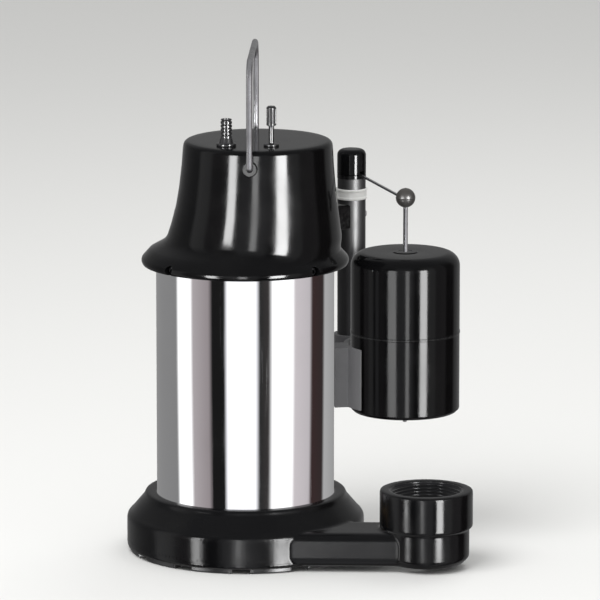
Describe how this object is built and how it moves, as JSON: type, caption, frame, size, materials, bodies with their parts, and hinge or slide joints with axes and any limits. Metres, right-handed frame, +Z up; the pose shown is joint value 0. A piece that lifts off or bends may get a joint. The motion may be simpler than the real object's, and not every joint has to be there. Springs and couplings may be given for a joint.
{
  "type": "submersible sump pump",
  "caption": "Submersible sump pump: polished steel motor shell, black volute base with side discharge hub, black cap with wire bail, and a vertical float switch beside it.",
  "frame": {"origin": "on the motor axis, on the floor under the strainer's centre pad", "axes": "+Z up along the motor shaft, +X towards the side with the discharge hub and float, +Y away from the viewer's side"},
  "size_m": [0.2269, 0.1569, 0.331],
  "materials": {
    "black_plastic": "moulded glossy black",
    "black_enamel": "glossy black enamel on cast iron",
    "nitrile": "matt black rubber",
    "bronze": "cast bronze",
    "zinc_steel": "bright fastener steel",
    "spring_steel": "bright wire",
    "ceramic": "lapped cream ceramic",
    "grey_iron": "bare grey cast iron",
    "polished_steel": "mirror-polished stainless steel with a faint vertical grain",
    "ground_steel": "ground stainless steel",
    "lamination": "stacked electrical steel",
    "cast_aluminium": "die-cast",
    "copper": "enamelled copper wire",
    "dark_bakelite": "moulded black",
    "bearing_steel": "ground bearing steel",
    "capacitor_can": "dark glossy can",
    "black_gloss": "high-gloss moulded black",
    "dark_screw": "blackened steel",
    "stainless_wire": "drawn stainless wire",
    "grey_plastic": "mid grey moulding",
    "mast_plastic": "dark grey satin tube",
    "white_nylon": "white moulded nylon",
    "rod_ball": "dark grey moulded ball",
    "float_gloss": "glossy black polypropylene"
  },
  "bodies": {
    "root": {"strainer_base": "black_plastic", "suction_cover": "black_enamel", "cover_gasket": "nitrile", "volute_casing": "black_enamel", "seal_seat": "ceramic", "lower_bracket": "grey_iron", "base_o_ring": "nitrile", "motor_shell": "polished_steel", "stator_core": "lamination", "stator_windings": "copper", "thermal_protector": "dark_bakelite", "lower_bearing_outer": "bearing_steel", "upper_bearing_outer": "bearing_steel", "upper_bracket": "grey_iron", "through_bolts": "zinc_steel", "bolt_nuts": "zinc_steel", "run_capacitor": "capacitor_can", "capacitor_cup": "zinc_steel", "terminal_block": "ceramic", "cap_gasket": "nitrile", "top_cap": "black_gloss", "cap_flange": "black_gloss", "cap_roof": "black_gloss", "mast_arm": "black_gloss", "cap_screws": "dark_screw", "cord_gland": "black_plastic", "gland_nut": "black_plastic", "fill_plug": "black_plastic", "cover_screws": "zinc_steel", "strainer_screws": "zinc_steel", "float_guide": "grey_plastic", "guide_studs": "zinc_steel", "guide_nuts": "zinc_steel", "switch_mast": "mast_plastic", "mast_foot": "black_plastic", "switch_head": "black_gloss", "mast_collar": "white_nylon", "mast_screws": "zinc_steel", "microswitch": "dark_bakelite", "lever_pin": "ground_steel"},
    "rotor": {"motor_shaft": "ground_steel", "rotor_core": "lamination", "rotor_end_rings": "cast_aluminium", "impeller": "bronze", "impeller_nut": "zinc_steel", "seal_spring": "spring_steel", "seal_head": "nitrile", "lower_bearing_inner": "bearing_steel", "upper_bearing_inner": "bearing_steel"},
    "lower_cage": {"lower_bearing_balls": "bearing_steel"},
    "upper_cage": {"upper_bearing_balls": "bearing_steel"},
    "rod": {"float_rod": "stainless_wire", "rod_ball": "rod_ball", "float_stop": "black_plastic"},
    "float": {"float_upper_shell": "float_gloss", "float_lower_shell": "float_gloss", "float_sleeve": "black_plastic"},
    "lever": {"switch_lever": "stainless_wire"},
    "plunger": {"switch_plunger": "ceramic"},
    "bail": {"bail_handle": "stainless_wire"}
  },
  "joints": [
    {"name": "shaft_spin", "type": "hinge", "parent": "root", "child": "rotor", "pos_m": [0, 0, 0.1], "axis": [0, 0, 1], "continuous": true},
    {"name": "lower_cage_spin", "type": "hinge", "parent": "root", "child": "lower_cage", "pos_m": [0, 0, 0.053], "axis": [0, 0, 1], "continuous": true},
    {"name": "upper_cage_spin", "type": "hinge", "parent": "root", "child": "upper_cage", "pos_m": [0, 0, 0.173], "axis": [0, 0, 1], "continuous": true},
    {"name": "rod_slide", "type": "slide", "parent": "root", "child": "rod", "axis": [0, 0, 1], "range_m": [0, 0.0066]},
    {"name": "float_slide", "type": "slide", "parent": "rod", "child": "float", "axis": [0, 0, 1], "range_m": [0, 0.0275]},
    {"name": "lever_tilt", "type": "hinge", "parent": "root", "child": "lever", "pos_m": [0.0695, 0.05218, 0.2415], "axis": [-0.6585, -0.7526, 0], "range_deg": [0, 9.2]},
    {"name": "plunger_press", "type": "slide", "parent": "root", "child": "plunger", "axis": [0, 0, -1], "range_m": [0, 0.0013]},
    {"name": "bail_swing", "type": "hinge", "parent": "root", "child": "bail", "pos_m": [0.005, 0, 0.26], "axis": [0, 1, 0], "range_deg": [-90, 85]}
  ],
  "couplings": [
    {"joint": "lower_cage_spin", "follows": "shaft_spin", "ratio": 0.3784},
    {"joint": "upper_cage_spin", "follows": "shaft_spin", "ratio": 0.3784},
    {"joint": "lever_tilt", "follows": "rod_slide", "rad_per_m": 23.789},
    {"joint": "plunger_press", "follows": "rod_slide", "ratio": 0.15225}
  ]
}
